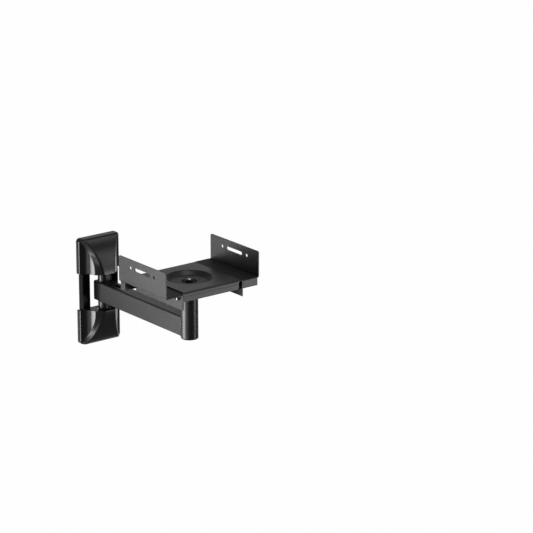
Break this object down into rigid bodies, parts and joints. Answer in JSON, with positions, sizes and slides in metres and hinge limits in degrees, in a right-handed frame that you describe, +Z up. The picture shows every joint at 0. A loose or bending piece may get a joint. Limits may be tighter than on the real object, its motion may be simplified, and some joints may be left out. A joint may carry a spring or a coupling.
{
  "type": "speaker wall bracket",
  "caption": "Swing-arm wall bracket with a covered wall plate and a dished tray on a ball joint that turns, tilts and grips a loudspeaker between sliding side clamps.",
  "frame": {"origin": "centre of the wall screw pattern on the back of the wall plate, level with the middle of the arm", "axes": "+X to the right along the wall seen from the room, -Y out of the wall along the arm, +Z up"},
  "size_m": [0.224, 0.3907, 0.2551],
  "materials": {
    "powder_black": "satin black powder coat",
    "gloss_black": "polished moulding",
    "cap_black": "matt moulding",
    "bush_grey": "plain turned plastic",
    "black_oxide": "black oxide",
    "zinc": "bright zinc plate"
  },
  "bodies": {
    "wall_unit": {"wall_plate": "powder_black", "upper_cover": "gloss_black", "lower_cover": "gloss_black", "pivot_bolt": "zinc", "pivot_nut": "zinc", "pivot_washer_upper": "zinc", "pivot_washer_lower": "zinc"},
    "arm": {"arm_tube": "powder_black", "arm_end_cap": "cap_black", "pivot_sleeve": "powder_black", "bush_upper": "bush_grey", "bush_lower": "bush_grey", "column_tube": "powder_black", "column_end_cap": "cap_black"},
    "swivel_head": {"swivel_seat": "black_oxide", "tilt_bolt": "zinc", "dome_washer": "black_oxide", "tilt_nut": "black_oxide"},
    "tray": {"tray": "powder_black", "left_screw": "zinc", "right_screw": "zinc", "left_screw_washer": "black_oxide", "right_screw_washer": "black_oxide"},
    "left_clamp": {"left_clamp": "powder_black", "left_rail": "powder_black", "left_nut": "zinc"},
    "right_clamp": {"right_clamp": "powder_black", "right_rail": "powder_black", "right_nut": "zinc"}
  },
  "joints": [
    {"name": "arm_swing", "type": "hinge", "parent": "wall_unit", "child": "arm", "pos_m": [0, -0.024, 0], "axis": [0, 0, 1], "range_deg": [-70, 70]},
    {"name": "tray_swivel", "type": "hinge", "parent": "arm", "child": "swivel_head", "pos_m": [0, -0.3113, 0.08], "axis": [0, 0, 1], "continuous": true},
    {"name": "tray_tilt", "type": "hinge", "parent": "swivel_head", "child": "tray", "pos_m": [0, -0.3113, 0.10641], "axis": [1, 0, 0], "range_deg": [-8, 8]},
    {"name": "left_clamp_slide", "type": "slide", "parent": "tray", "child": "left_clamp", "axis": [-1, 0, 0], "range_m": [0, 0.04]},
    {"name": "right_clamp_slide", "type": "slide", "parent": "tray", "child": "right_clamp", "axis": [1, 0, 0], "range_m": [0, 0.04]}
  ]
}
